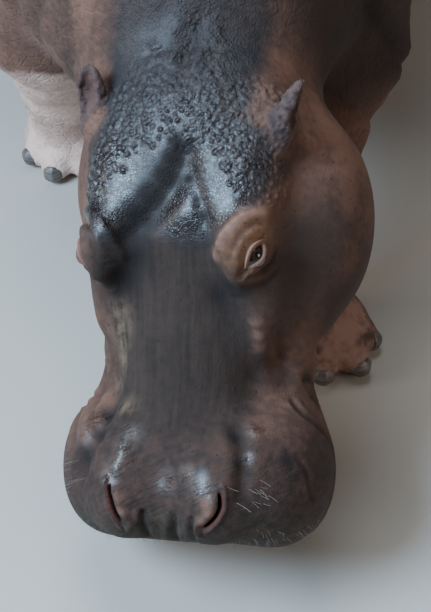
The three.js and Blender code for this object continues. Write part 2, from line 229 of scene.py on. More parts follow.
def egg(p, at, half, power=2):
    share = np.abs(p - at) / half
    near = np.maximum((share**power).sum(-1) ** (1 / power), 1e-6)
    slope = np.linalg.norm((share / near[:, None]) ** (power - 1) / half, axis=-1)
    return (near - 1) / slope


def rod(p, a, b):
    start, along = np.array(a[:3], float), np.subtract(b[:3], a[:3])
    t = np.clip((p - start) @ along / (along @ along), 0, 1)
    return np.linalg.norm(p - start - t[:, None] * along, axis=-1) - (a[3] + t * (b[3] - a[3]))


def rods(p, joints, reach):
    value = rod(p, joints[0], joints[1])
    for a, b in zip(joints[1:], joints[2:]):
        value = melt(value, rod(p, a, b), reach)
    return value


def eggs(p, shapes, reach, value=None):
    for at, half, *power in shapes:
        for q in [p, p * (-1, 1, 1)] if at[0] > 0 else [p]:
            found = egg(q, at, half, *power)
            value = found if value is None else melt(value, found, reach)
    return value


print("an egg 100 mm long reads", egg(np.array([[0, 60.0, 0]]), (0, 0, 0), (30, 50, 30)).round(1))

# %% Name the masses of trunk, skull and face
TRUNK = [((0, 800, 885), (600, 1000, 475)), ((0, 860, 690), (500, 760, 300)),
         ((0, 60, 860), (385, 430, 420)), ((0, 1490, 890), (450, 430, 415))]
SKULL = [((0, -155, -165), (182, 235, 156), 2.6), ((0, -450, -150), (128, 270, 112)),
         ((0, -676, -164), (204, 122, 152), 3), ((160, -668, -190), (86, 126, 120)),
         ((128, -410, -232), (74, 240, 88)), ((0, -600, -262), (165, 140, 66)),
         ((0, -240, -280), (190, 300, 120))]
JOWLS = [(1, (176, -222, -262), (112, 188, 150)), (-1, (164, -168, -262), (104, 150, 150))]
FACE = [((128, -288, -24), (36, 58, 46)), ((114, -190, -64), (56, 105, 52)), ((148, -58, -86), (34, 46, 38)),
        ((134, -330, -120), (50, 120, 62)), ((84, -700, -42), (52, 80, 50))]
NECK = ((0, 40, 900, 300), (36, -405, 655, 196))
TAIL = [(0, 1850, 1110, 72), (0, 1948, 1010, 46), (0, 1996, 830, 32), (0, 2000, 690, 20)]
TAIL_FLATNESS = 0.62
MELTS = {"trunk": 150, "skull": 62, "face": 48, "nape": 80, "legs": 95, "tail": 47.5, "sole": 6}
SKIN_LEVEL = -1.5  # the hide lies this far inside the formula's zero, and the soles at this height
print("masses:", len(TRUNK), "of trunk,", len(SKULL), "of skull,", len(FACE), "of face")

# %% Name the legs: side, heading of the foot, its place, and the rods down the leg
LEGS = [
    (1, 18, (272, -336), [(262, 30, 840, 190), (296, 0, 530, 138), (250, -100, 400, 104),
                          (236, -262, 215, 76), (252, -308, 95, 76)]),
    (-1, -4, (288, 290), [(262, 60, 840, 190), (290, 80, 520, 134), (290, 150, 390, 104), (294, 246, 215, 82),
                          (290, 282, 95, 86)]),
    (1, 12, (300, 1600), [(225, 1410, 860, 250), (300, 1360, 590, 172), (300, 1620, 290, 100),
                          (300, 1618, 95, 90)]),
    (-1, 10, (300, 1180), [(225, 1390, 860, 250), (300, 1200, 580, 168), (300, 1262, 270, 100),
                           (300, 1202, 95, 90)]),
]
TOES = [(-58, 86), (-19, 106), (19, 106), (58, 86)]


def to_foot(plan, side, heading, place):
    a = radians(heading)
    p = plan * (side, 1, 1) - (*place, 0)
    return np.stack([p[:, 0] * cos(a) + p[:, 1] * sin(a), p[:, 1] * cos(a) - p[:, 0] * sin(a), p[:, 2]], -1)


def leg(plan, side, heading, place, joints):
    value = rods(plan * (side, 1, 1), joints, 40)
    foot = to_foot(plan, side, heading, place)
    value = melt(value, egg(foot, (0, 8, 46), (104, 104, 62)), 44)
    for angle, reach in TOES:
        x, y = sin(radians(angle)), -cos(radians(angle))
        value = melt(value, rod(foot, (x * 40, y * 40, 62, 44), (x * reach, y * reach, 37, 35)), 22)
    return value


def body(metres):
    """How far, in millimetres, each point is outside the hide."""
    plan = to_plan(metres)
    value = melt(eggs(plan, TRUNK, MELTS["trunk"]), rod(plan, *NECK), MELTS["trunk"])
    at = plan[:, 1] < 0
    head = (plan[at] - POLL) @ HEAD
    skull = eggs(head, SKULL, MELTS["skull"])
    for side, middle, half in JOWLS:
        skull = melt(skull, egg(head * (side, 1, 1), middle, half), MELTS["skull"])
    value[at] = melt(value[at], eggs(head, FACE, MELTS["face"], skull), MELTS["nape"])
    for one in LEGS:
        middle = np.mean([joint[1] for joint in one[3]])
        at = (np.abs(plan[:, 1] - middle) < 640) & (plan[:, 0] * one[0] > -130) & (plan[:, 2] < 1250)
        value[at] = melt(value[at], leg(plan[at], *one), MELTS["legs"])
    at = plan[:, 1] > 1600
    tail = rods(plan[at] / (TAIL_FLATNESS, 1, 1), TAIL, 22) * TAIL_FLATNESS
    value[at] = melt(value[at], tail, MELTS["tail"])
    return -melt(-value, plan[:, 2] - SKIN_LEVEL, MELTS["sole"])


print("the muzzle's front reads", body(from_head([[0, -798, -160]])).round(1), "mm")

# %% [markdown]
# ## A rough skin over all the flesh
# The flesh is parted into many solids, and a real hide has no such seams. Copies of them are swollen a hair
# and remeshed together, which closes the cuts. Then the mesh is made finer step by step where the eye looks:
# head, feet, face, and finest round the eyes and nostrils, so no triangles are spent on the flat flanks.

# %% Join the flesh and remesh it
FLESH = [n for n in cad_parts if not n.startswith(("eye_", "nail_", "ear_"))]
EARS = ["ear_left", "ear_right"]


def applied(thing):
    """The object, with what its modifiers make of it as its plain mesh."""
    bpy.context.view_layer.update()
    mesh = bpy.data.meshes.new_from_object(thing.evaluated_get(bpy.context.evaluated_depsgraph_get()))
    thing.modifiers.clear()
    thing.data = mesh
    return thing


def gathered(name, nodes, swell):
    """One object of several solids, their doubled points merged, swollen by so many metres."""
    bm = bmesh.new()
    for node in nodes:
        bm.from_mesh(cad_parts[node].data)
    bmesh.ops.remove_doubles(bm, verts=bm.verts, dist=1e-5)
    bm.normal_update()
    for v in bm.verts:
        v.co += v.normal * swell
    mesh = bpy.data.meshes.new(name)
    bm.to_mesh(mesh)
    bm.free()
    return link(name, mesh)


def remeshed(thing, voxel):
    modifier = thing.modifiers.new("voxels", "REMESH")
    modifier.mode, modifier.voxel_size = "VOXEL", voxel
    return applied(thing)


hide = remeshed(gathered("hide", FLESH, swell=0.0005), voxel=0.0225)
print("rough skin:", len(hide.data.polygons), "faces from", len(FLESH), "solids")

# %% Make the mesh finer where it matters
EYE_RADIUS = 25.0
SLIT_LEFT = [(111, -690, 4), (113, -706, 3), (112, -720, 2), (104, -736, 2), (90, -750, 0), (80, -756, -3)]
SLIT_RIGHT = [(-88, -688, 10), (-86, -706, 10), (-82, -722, 8), (-74, -742, 3), (-66, -758, -6)]


def points_of(mesh):
    flat = np.empty(len(mesh.vertices) * 3)
    mesh.vertices.foreach_get("co", flat)
    return flat.reshape(-1, 3)


def edges_of(mesh):
    flat = np.empty(len(mesh.edges) * 2, int)
    mesh.edges.foreach_get("vertices", flat)
    return flat.reshape(-1, 2)


def near(places, targets, reach):
    gaps = np.linalg.norm(places[:, None] - np.asarray(targets, float)[None], axis=-1)
    return gaps.min(1) < reach


def whole_head(metres):
    """Head and feet; the bounds of these zones are millimetres in the head's frame and from each foot."""
    h, plan = to_head(metres), to_plan(metres)
    feet = [np.linalg.norm(to_foot(plan, s, a, at) * (1, 1, 0.8), axis=-1) < 190 for s, a, at, _ in LEGS]
    return (h[:, 1] < 60) & (np.abs(h[:, 0]) < 330) & (h[:, 2] > -480) & (plan[:, 1] < -380) | np.any(feet, 0)


def whole_face(metres):
    h = to_head(metres)
    u, v, w = np.abs(h[:, 0]), -h[:, 1], h[:, 2]
    return (v > -70) & (v < 370) & (w > -95) & (u < 225) | (v > 535) & (w > -290) & (u < 300)


def warty_crown(metres):
    h = to_head(metres)
    return (h[:, 1] < 20) & (h[:, 1] > -215) & (h[:, 2] > -90) & (np.abs(h[:, 0]) < 200)


def eyes_and_nostrils(reach_eye, reach_slit):
    """A zone round both eyes, since the head's sides are laid on each other here, and both nostrils."""
    def inside(metres):
        h = to_head(metres)
        return near(np.abs(h) * (1, -1, 0) + h * (0, 0, 1), [EYE + (6, 0, 8)], reach_eye) | near(
            h, SLIT_LEFT + SLIT_RIGHT, reach_slit)
    return inside


def refine(mesh, inside):
    """Split the edges whose ends both lie in a zone."""
    mask = inside(points_of(mesh))
    bm = bmesh.new()
    bm.from_mesh(mesh)
    edges = [e for e in bm.edges if mask[e.verts[0].index] and mask[e.verts[1].index]]
    bmesh.ops.subdivide_edges(bm, edges=edges, cuts=1, use_grid_fill=True)
    bmesh.ops.triangulate(bm, faces=[f for f in bm.faces if len(f.verts) > 4])
    bm.to_mesh(mesh)
    bm.free()
    print("finer:", len(mesh.vertices), "points")


refine(hide.data, whole_head)

# %% Settle the points onto the formula
STEEP_ENOUGH, LONGEST_STEP = 0.05, 0.012  # a floor for the squared slope, and metres


def slope_of(value, points, step=0.0005):
    """The formula at each point, and how it rises along the three axes, in mm for each mm."""
    here = value(points)
    return here, np.stack([value(points + np.eye(3)[k] * step) - here for k in range(3)], -1) / (step * 1000)


def neighbour_mean(points, edges):
    total, count = np.zeros_like(points), np.bincount(edges.ravel(), minlength=len(points))
    for k in range(3):
        total[:, k] = (np.bincount(edges[:, 0], points[edges[:, 1], k], len(points))
                       + np.bincount(edges[:, 1], points[edges[:, 0], k], len(points)))
    return total / np.maximum(count, 1)[:, None]


def settle(mesh, value, level, rounds, evening=0.5, only=None):
    """Move a mesh's points to where the formula reads level, and even out their spacing on the way."""
    points, edges = points_of(mesh), edges_of(mesh)
    chosen = np.ones(len(points), bool) if only is None else only
    for turn in range(rounds):
        here, slope = slope_of(value, points[chosen])
        square = np.maximum((slope**2).sum(-1), STEEP_ENOUGH)
        step = np.clip((level - here) / square / 1000, -LONGEST_STEP, LONGEST_STEP)
        points[chosen] += step[:, None] * slope
        if turn < rounds - 2:
            facing = slope / np.sqrt(square)[:, None]
            pull = (neighbour_mean(points, edges) - points)[chosen]
            points[chosen] += evening * (pull - (pull * facing).sum(-1)[:, None] * facing)
    mesh.vertices.foreach_set("co", points.ravel())
    mesh.update()
    return points


settle(hide.data, body, SKIN_LEVEL, 8)
refine(hide.data, whole_face)
settle(hide.data, body, SKIN_LEVEL, 5)
refine(hide.data, lambda p: eyes_and_nostrils(46, 34)(p) | warty_crown(p))
settle(hide.data, body, SKIN_LEVEL, 4)
refine(hide.data, eyes_and_nostrils(34, 18))
points = settle(hide.data, body, SKIN_LEVEL, 5)
print("left from the formula:", np.abs(body(points) - SKIN_LEVEL).max().round(2), "mm at most")

# %% [markdown]
# ## Ears
# A hippopotamus has small mobile ears: a thick leaf with a scooped hollow on a stout root. Each is settled
# onto its own formula, from a stretched ball with its hollow pressed in, and joined to the skin with a
# Boolean. Settling the joint on the melted sum of both formulas then leaves no seam at the root.

# %% Shape the two ears
EAR_SEATS = {"left": ([174, -80, -64], [0.47, 0.8, 0.36], [0.85, -0.45, -0.2]),
             "right": ([-172, -50, -62], [0.2, 0.77, 0.6], [-0.3, -0.5, 0.8])}
EAR_TAPER = {"left": ((1.15, 0.6), (2.0, 0.35)), "right": ((1.12, 0.85), (1.12, 0.85))}
LEAF, HOLLOW = ((0, 48, 0), (28, 56, 17)), ((0, 58, 14), (19, 40, 18))
EAR_ROOT = [(0, -24, 0, 22), (0, 22, -2, 17)]


def ear_axes(side):
    at, along, hollow = (np.array(v, float) for v in EAR_SEATS[side])
    y = along / np.linalg.norm(along)
    x = np.cross(y, hollow)
    x /= np.linalg.norm(x)
    return at, np.stack([x, y, np.cross(x, y)], -1)


def in_ear(metres, side):
    """Across, along and out of the ear, in a space where its tapered tip is not tapered, and the taper."""
    at, axes = ear_axes(side)
    p = (to_head(metres) - at) @ axes
    taper = np.ones_like(p)
    for k, (base, tip) in zip((0, 2), EAR_TAPER[side]):
        grown = np.clip((p[:, 1] + 24) / 50, 0, 1)
        taper[:, k] = (1 + (base - 1) * grown) * tip ** np.clip(p[:, 1] / 100, 0, 1)
    return p / taper, taper


def ear(metres, side, hollowed=True):
    p, _ = in_ear(metres, side)
    solid = melt(egg(p, *LEAF), rod(p, *EAR_ROOT), 12)
    return -melt(-solid, egg(p, *HOLLOW), 6) if hollowed else solid


def ball_mesh(name):
    """A ball of radius 1 and 5,120 even triangles."""
    bm = bmesh.new()
    bmesh.ops.create_icosphere(bm, subdivisions=5, radius=1)
    mesh = bpy.data.meshes.new(name)
    bm.to_mesh(mesh)
    bm.free()
    return mesh


def ear_shape(side):
    mesh = ball_mesh("ear")
    at, axes = ear_axes(side)
    points = points_of(mesh) * (27, 76, 20) + (0, 28, 0)
    mesh.vertices.foreach_set("co", from_head(points @ axes.T + at).ravel())
    points = settle(mesh, lambda p: ear(p, side, False), 0, 8)
    local, taper = in_ear(points, side)
    (_, high, out), (wide, long, deep) = HOLLOW
    inside = 1 - ((local[:, 0] / wide) ** 2 + ((local[:, 1] - high) / long) ** 2)
    scooped = (local[:, 2] > 0) & (inside > 0)
    local[scooped, 2] = out - deep * np.sqrt(inside[scooped])
    mesh.vertices.foreach_set("co", from_head(local * taper @ axes.T + at).ravel())
    settle(mesh, lambda p: ear(p, side), 0, 10, 0.6)
    return link("ear_shape_" + side, mesh)


for side in EAR_SEATS:
    other = ear_shape(side)
    union = hide.modifiers.new("join", "BOOLEAN")
    union.operation, union.solver, union.object = "UNION", "EXACT", other
    applied(hide)
    bpy.data.objects.remove(other)
print("with ears:", len(hide.data.vertices), "points")

# %% Melt the ear roots into the head
def body_and_ears(metres):
    value = body(metres)
    for side in EAR_SEATS:
        value = melt(value, ear(metres, side), 14)
    return value


rooted = near(to_head(points_of(hide.data)), [seat[0] for seat in EAR_SEATS.values()], 62)
settle(hide.data, body_and_ears, SKIN_LEVEL, 6, 0.5, rooted)
print("points round the ear roots:", int(rooted.sum()))

# %% [markdown]
# ## Folds, warts and wrinkles
# Thick hide creases where it bends: behind the jowl, between the pads of the lip, above every foot. Each fold
# is a path laid on the skin. Points near it sink, and those just beside it rise a little, as pushed-up skin
# does. All of them read the smooth, settled skin, so one fold never distorts the next.

# %% Keep the smooth skin to measure from
rest = points_of(hide.data)
at_head, at_plan = to_head(rest), to_plan(rest)
here, facing = slope_of(body_and_ears, rest)
facing /= np.linalg.norm(facing, axis=1)[:, None]
lift, crease_shade = np.zeros(len(rest)), np.zeros(len(rest))
left, back, up = at_head.T
ahead = -back
on_head = (at_plan[:, 1] < -330) & (ahead > -150) & (np.abs(left) < 330) & (up > -420)
print("smooth skin kept:", len(rest), "points,", int(on_head.sum()), "of them on the head")

# %% Lay a path on the skin
def ramp(values, low, high):
    """0 below low, 1 above high, and smooth between them."""
    t = np.clip((values - low) / (high - low), 0, 1)
    return t * t * (3 - 2 * t)


def fall(values, low, high):
    return 1 - ramp(values, low, high)


def bell(values, width):
    return np.exp(-((values / width) ** 2))


def mirrored(stops, s):
    """The stops as they are for s = 1, the left side, and on the right side for s = -1."""
    return [(s * x, y, z) for x, y, z in stops]


def curve(stops, parts=7):
    """A smooth path through the stops."""
    p = np.asarray(stops, float)
    p = np.vstack([2 * p[0] - p[1], p, 2 * p[-1] - p[-2]])
    t = np.linspace(0, 1, parts, endpoint=False)[:, None]
    runs = [0.5 * (2 * b + (c - a) * t + (2 * a - 5 * b + 4 * c - d) * t**2 + (3 * b - a - 3 * c + d) * t**3)
            for a, b, c, d in zip(p, p[1:], p[2:], p[3:])]
    return np.vstack([*runs, p[-2:-1]])


def laid(metres):
    """The points moved straight onto the smooth skin."""
    metres = np.array(metres, float)
    for _ in range(5):
        here, slope = slope_of(body, metres)
        square = np.maximum((slope**2).sum(-1), STEEP_ENOUGH)
        metres -= ((here - SKIN_LEVEL) / square / 1000)[:, None] * slope
    return metres


def along(path, reach):
    """Which points lie within reach of a path, how far off, and how far along it from 0 to 1."""
    boxed = np.flatnonzero(np.all((rest > path.min(0) - reach) & (rest < path.max(0) + reach), 1))
    a, d = path[:-1], np.diff(path, axis=0)
    offset = rest[boxed][:, None] - a
    t = np.clip((offset * d).sum(-1) / np.maximum((d * d).sum(-1), 1e-12), 0, 1)
    gap = np.linalg.norm(offset - t[..., None] * d, axis=-1)
    nearest = gap.argmin(1)
    rows = np.arange(len(boxed))
    return boxed, gap[rows, nearest] * 1000, (nearest + t[rows, nearest]) / len(d)


LIP_AT, SHADE_WIDTH = 2.1, 0.9  # in widths of the fold: where its lip stands, and how wide it is dark


def fold(stops, depth, width, lip=0.3, shade_strength=1.0, head=True, ends=0.18):
    """Sink a line into the skin, with its edges pushed up, and mark painted shade along it; a negative depth
    raises a ridge.
    """
    path = laid(from_head(curve(stops)) if head else (curve(stops) - SHIFT) / 1000)
    who, gap, t = along(path, width * 5 / 1000)
    fade = ramp(t, 0, ends) * ramp(1 - t, 0, ends)
    lift[who] -= fade * depth * bell(gap, width)
    lift[who] += fade * depth * lip * bell(gap - LIP_AT * width, width)
    # Painted shade along the fold's line, laid into the hide's colour later.
    crease_shade[who] = np.maximum(crease_shade[who], fade * shade_strength * bell(gap, width * SHADE_WIDTH))


print("a path of three stops has", len(curve([(0, 0, 0), (1, 0, 0), (2, 1, 0)])), "points")

# %% Crease the lip pads, the muzzle's front and the mouth
for stops, depth, width in [
    ([(110, -572, -60), (120, -590, -50), (131, -612, -40), (143, -652, -27), (141, -690, -20),
      (146, -724, -30)], 7, 13),
    ([(-122, -545, -95), (-129, -568, -73), (-130, -602, -38), (-142, -630, -28), (-155, -670, -30),
      (-162, -705, -45)], 11, 16),
    ([(-31, -729, -7), (-31, -743, -14), (-36, -764, -30), (-40, -784, -70)], 8, 6),
    ([(22, -729, -12), (21, -754, -26), (11, -775, -50), (2, -792, -100)], 9, 6.5),
    ([(60, -734, 2), (61, -748, -4), (56, -768, -22), (48, -786, -64)], 7, 6),
    ([(208, -628, -88), (225, -659, -110), (229, -700, -124), (228, -714, -150)], 3, 4.5),
    ([(183, -527, -155), (200, -556, -152), (222, -588, -180), (238, -612, -225)], 10, 6),
    ([(-189, -540, -146), (-212, -567, -168), (-226, -591, -195)], 8, 6),
]:
    fold(stops, depth, width, 0.3, 0.6)
MOUTH = [(196, -520, -205), (214, -560, -232), (232, -630, -248), (226, -700, -246), (180, -762, -240),
         (95, -788, -236), (0, -794, -234)]
fold(MOUTH + mirrored(MOUTH[-2::-1], -1), 13, 7, 0.35, ends=0.05)
for s in (1, -1):
    fold(mirrored([(190, -505, -190), (205, -500, -215), (204, -515, -250)], s), 8, 8)
    fold(mirrored([(150, -380, -200), (175, -300, -330), (150, -240, -390)], s), 6, 16, 0.4, 0.4)
print("deepest so far", round(-lift.min(), 1), "mm")

# %% Raise the soft ridges of the face and sink the hollows beside them
for stops, depth, width in [
    ([(136, -385, -62), (141, -404, -71), (143, -444, -94), (143, -490, -122), (152, -530, -132)], -6, 11),
    ([(166, -400, -100), (170, -440, -130), (170, -487, -158), (184, -525, -158)], 7, 14),
    ([(-110, -390, -62), (-112, -430, -76), (-117, -480, -101), (-102, -540, -76), (-82, -585, -38),
      (-70, -620, -10), (-74, -655, 3), (-84, -680, 8)], -5, 13),
    ([(-140, -400, -90), (-142, -440, -115), (-140, -488, -127)], 5, 12),
]:
    fold(stops, depth, width, 0.2, 0.3)
print("soft ridges raised;", round(lift.max(), 1), "mm at most")

# %% Hollow the forehead and fold the skin round the eyes
fold([(22, -90, -6), (24, -123, -7), (15, -152, -8), (-2, -188, -10), (-34, -224, -11), (-68, -262, -6),
      (-74, -300, -28)], 13, 23, 0.1, 0.2)
fold([(30, -130, -7), (42, -165, -9), (55, -200, -10), (64, -228, -12), (70, -256, -14)], 4, 12, 0.1, 0.2)
BROW = [(80, -315, -27), (87, -293, -9), (97, -271, 4), (114, -248, 9), (136, -227, -1), (162, -220, -25),
        (177, -234, -56)]
ROUND_EYE = [
    (BROW, -7, 9, 0, 0),
    ([(114, -315, 12), (121, -295, 21), (129, -276, 21), (142, -252, 11), (158, -238, -15), (171, -245, -41)],
     4, 5, 0.3, 0.3),
    ([(140, -330, 0), (158, -325, -26), (176, -302, -58), (178, -272, -66)], 4, 6, 0.3, 0.5),
    ([(128, -344, -14), (160, -342, -48), (182, -306, -84)], 3, 7, 0.3, 0.3),
    ([(102, -362, -52), (112, -366, -52), (120, -362, -58)], 3, 4, 0.4, 0.6),
    *[([(84, -266 - k * 11, -6 - k), (104, -268 - k * 11, 6 - k), (120, -272 - k * 10, 14 - k)],
       1.2, 2.6, 0.2, 0.25) for k in range(5)],
]
for s in (1, -1):
    for stops, *how in ROUND_EYE:
        fold(mirrored(stops, s), *how)
fold([(34, 150, -46), (24, 98, -46), (12, 50, -34), (6, 22, -26)], 11, 10, 0.5, 0.5)
fold([(-80, 45, -34), (-27, 59, -33), (9, 69, -39), (34, 66, -43), (72, 57, -53)], 4, 5, 0.4, 0.5)


def spots(*places, power=2):
    """The strongest of several soft spots on the head, each (left, back, up, radius)."""
    reach = [np.linalg.norm(at_head - spot[:3], axis=1) / spot[3] for spot in places]
    return on_head * np.exp(-np.min(reach, 0) ** power)


right_brow, mound = spots((-158, -262, -6, 26), (-156, -285, -4, 22)), spots((30, -226, -12, 40))
RIGHT_BROW_RISE, MOUND_RISE = 9, 5
lift += RIGHT_BROW_RISE * right_brow + MOUND_RISE * mound
print("highest", round(lift.max(), 1), "mm")

# %% Ring the neck, legs and tail with folds
def ring(centre, axis, start, end, count=24):
    """Where a fan of rays from centre, turned about axis, leaves the body; degrees from straight up."""
    axis = np.array(axis, float) / np.linalg.norm(axis)
    side = np.cross(axis, (0, 0, 1)) if abs(axis[2]) < 0.9 else np.array([1.0, 0, 0])
    side /= np.linalg.norm(side)
    top = np.cross(side, axis)
    a = np.radians(np.linspace(start, end, count))[:, None]
    rays = np.cos(a) * top + np.sin(a) * side
    low, high = np.zeros(count), np.full(count, 900.0)
    for _ in range(16):
        middle = (low + high) / 2
        inside = body((np.array(centre) + rays * middle[:, None] - SHIFT) / 1000) < 0
        low, high = np.where(inside, middle, low), np.where(inside, high, middle)
    return np.array(centre) + rays * low[:, None]


NECK_LINE = (-36, 445, 245)
for place, depth, start, end in [((28, -300, 712), 8, 65, 175), ((28, -300, 712), 8, -175, -65),
                                 ((22, -215, 760), 9, 60, 185), ((22, -215, 760), 7, -165, -60),
                                 ((14, -110, 815), 7, 75, 160), ((14, -110, 815), 7, -160, -75)]:
    fold(ring(place, NECK_LINE, start, end), depth, 15, 0.5, 0.5, False)
for side, _, _, joints in LEGS:
    shin, ankle = joints[-2:]
    for height, depth in ((150, 5), (178, 4), (240, 5), (286, 3)):
        t = np.clip((shin[2] - height) / (shin[2] - ankle[2]), 0, 1)
        x, y = (shin[k] + t * (ankle[k] - shin[k]) for k in (0, 1))
        fold(ring((x * side, y, height), (0.05, 0.12, 1), 10, 350), depth, 8, 0.5, 0.6, False, 0.1)
for height, depth in ((1085, 5), (1055, 4), (1025, 4)):
    fold(ring((0, 1880 + (1110 - height) * 0.95, height), (0, 0.8, -1), -80, 80), depth, 7, 0.4, 0.5, False)
print("folds sunk in", int((crease_shade > 0.3).sum()), "points")

# %% Crease the shoulders, flanks and haunches
for s in (1, -1):
    drawn_back = 0 if s > 0 else 260  # the right foreleg's shoulder lies further back
    for stops, depth, width, shade_strength in [
        ([(330, 190 + drawn_back, 980), (400, 150 + drawn_back, 820), (390, 120 + drawn_back, 660),
          (360, 90 + drawn_back, 540)], 9, 24, 0.25),
        ([(300, -190, 900), (330, -160, 760), (310, -130, 620)], 8, 20, 0.25),
        ([(330, 1180, 700), (420, 1130, 600), (380, 1090, 520)], 9, 22, 0.3),
        ([(420, 1330, 980), (460, 1250, 820), (430, 1190, 680)], 6, 28, 0.15),
        ([(120, 1880, 960), (150, 1870, 800), (170, 1820, 640)], 9, 22, 0.3),
    ]:
        fold(mirrored(stops, s), depth, width, 0.5, shade_strength, False)
print("body folded; deepest", round(-lift.min(), 1), "mm")

# %% [markdown]
# ## Warts on the crown
# Between the ears the hide is set with hundreds of small firm warts, and the nape has a few large ones. They
# are scattered by throwing points on the skin and keeping only those that stand clear of one another, then
# each raises a round cap. The tiniest are left to the material, where they cost no triangles.

# %% Scatter warts
from mathutils.kdtree import KDTree

tree = KDTree(len(rest))
for index, place in enumerate(rest):
    tree.insert(place, index)
tree.balance()
chance = np.random.default_rng(7)
side_band = ramp(np.abs(left), 40, 150)
crown_band = ramp(ahead, -20, 35) * ramp(215 - ahead - 90 * (1 - side_band), 0, 50) * ramp(up, -110, -60)
nape_band = ramp(ahead, -150, -110) * ramp(35 - ahead, 0, 40) * ramp(95 - np.abs(left - 12), 0, 60)
nape_band *= ramp(up, -90, -60) * (at_plan[:, 1] < -330)


def warts(density, count, size, height, spread):
    """Raise up to count warts of about these sizes, in millimetres, where density is high."""
    order = chance.choice(len(rest), count * 4, replace=False, p=density / density.sum())
    chosen = []
    for pick in order:
        if len(chosen) >= count:
            break
        if all(np.linalg.norm(rest[pick] - rest[c]) * 1000 > spread for c in chosen):
            chosen.append(pick)
    for pick in chosen:
        radius = size * chance.uniform(0.7, 1.3)
        tall = height * chance.uniform(0.6, 1.25) * min(1, radius / size)
        for _, index, gap in tree.find_range(rest[pick], radius / 1000):
            cap = tall * (1 - (gap * 1000 / radius) ** 2) ** 2
            lift[index] = max(lift[index], 0) * 0.4 + lift[index] * 0.6 + cap
    return len(chosen)


on_crown = np.where(on_head & (crown_band > 0.05), crown_band * (0.35 + side_band), 0)
on_nape = np.where(nape_band > 0.05, nape_band, 0)
print("warts:", warts(on_crown, 560, size=7.2, height=2.9, spread=9.2), "small and",
      warts(on_nape, 130, size=10.5, height=3.2, spread=11.5), "large")

# %% [markdown]
# ## Nostrils and eyelids
# A nostril is a slit with a soft inner flap that shuts it under water. The slit is sunk deep, and the
# material paints its inside near-black as painted shade; its flap swells and its outer rim stands up. The
# lids are the skin itself, drawn over the eyeball to an almond opening: inside it the skin dives behind the
# ball, and at its edge it rolls into a lid margin.

# %% Open the nostrils
SLIT_DEPTH, FLAP_HEIGHT, RIM_HEIGHT = 26, 7, 4.5  # millimetres
slit, rimmed = np.zeros(len(rest)), np.zeros(len(rest))


def nostril(stops, side):
    """Open a slit along the stops; gap is the distance from it, and out how far towards the side."""
    who, gap, t = along(laid(from_head(curve(stops))), 0.05)
    out = (left[who] - np.interp(t, np.linspace(0, 1, len(stops)), [s[0] for s in stops])) * side
    flap = bell(gap - 12, 9) * ramp(-out, -2, 6)
    rim = bell(gap - 8.5, 4.5) * ramp(out, -2, 6)
    open_here = ramp(t, 0, 0.2) * ramp(1 - t, 0, 0.22)
    lift[who] += FLAP_HEIGHT * flap * ramp(t, 0, 0.3) + RIM_HEIGHT * rim
    lift[who] = lift[who] * ramp(gap, 0.8, 4.2) + (lift[who] - SLIT_DEPTH * open_here) * fall(gap, 0.8, 4.2)
    slit[who] = np.maximum(slit[who], open_here * fall(gap, 2.0, 4.6))
    rimmed[who] = np.maximum(rimmed[who], bell(gap - 4.4, 1.7) * open_here * ramp(out, -4, 3))


nostril(SLIT_LEFT, 1)
nostril(SLIT_RIGHT, -1)
print("points inside the slits:", int((slit > 0.5).sum()))

# %% Draw the lids over the eyeballs
GAZE = {1: ((0.62, 0.04, 0.784), (0.386, 0.854, -0.349)), -1: ((-0.84, 0.04, 0.54), (-0.386, 0.854, -0.349))}
HALF_OPEN, CORNER = (52, 20), 1.7  # half the opening's length and height in degrees, and how round it is
LID_THICKNESS, ROLL_HEIGHT, DIVE = 2.6, 5, 11  # millimetres
moved = rest + facing * lift[:, None] / 1000
lid, margin, roll = (np.zeros(len(rest)) for _ in range(3))


def eye_axes(s):
    """An eye's middle, where it looks, along its opening and across it; s is 1 for the left eye."""
    gaze = np.array(GAZE[s][0]) / np.linalg.norm(GAZE[s][0])
    length = np.array(GAZE[s][1]) - np.dot(GAZE[s][1], gaze) * gaze
    length /= np.linalg.norm(length)
    return EYE * (s, 1, 1), gaze, length, np.cross(gaze, length)


for s in (1, -1):
    centre, gaze, length, across = eye_axes(s)
    who = np.flatnonzero(np.linalg.norm(at_head - centre, axis=1) < 75)
    offset = to_head(moved[who]) - centre
    far = np.linalg.norm(offset, axis=1)
    way = offset / far[:, None]
    bent = [np.degrees(np.arctan2(way @ axis, np.maximum(way @ gaze, 0.05))) for axis in (length, across)]
    shares = [(np.abs(angle) / half) ** CORNER for angle, half in zip(bent, HALF_OPEN)]
    outside = ((shares[0] + shares[1]) ** (1 / CORNER) - 1) * 11  # roughly mm beyond the opening's edge
    lid_roll = bell(outside - 5.5, 3.2) * (0.3 + 0.7 * ramp(s * bent[1], -6, 8))
    over = EYE_RADIUS + LID_THICKNESS + ROLL_HEIGHT * lid_roll
    wanted = np.where(outside > 1.2, over, over - DIVE * fall(outside, -1.6, 1.2))
    share = fall(outside, 7, 18) * (way @ gaze > 0.12)
    radius = far + (wanted - far) * share
    moved[who] = from_head(centre + way * radius[:, None])
    lid[who] = np.maximum(lid[who], fall(outside, 3, 13) * share)
    roll[who] = np.maximum(roll[who], lid_roll * share)
    margin[who] = np.maximum(margin[who], bell(outside - 0.6, 1.8) * share)
print("points in the lids:", int((lid > 0.3).sum()))

# %% Put the folded skin on the mesh
hide.data.vertices.foreach_set("co", moved.ravel())
hide.data.update()
bm = bmesh.new()
bm.from_mesh(hide.data)
bmesh.ops.triangulate(bm, faces=bm.faces)
bmesh.ops.recalc_face_normals(bm, faces=bm.faces)
open_edges = sum(len(e.link_faces) != 2 for e in bm.edges)
bm.to_mesh(hide.data)
bm.free()
hide.data.shade_smooth()
print("skin:", len(hide.data.polygons), "triangles,", open_edges, "open edges")
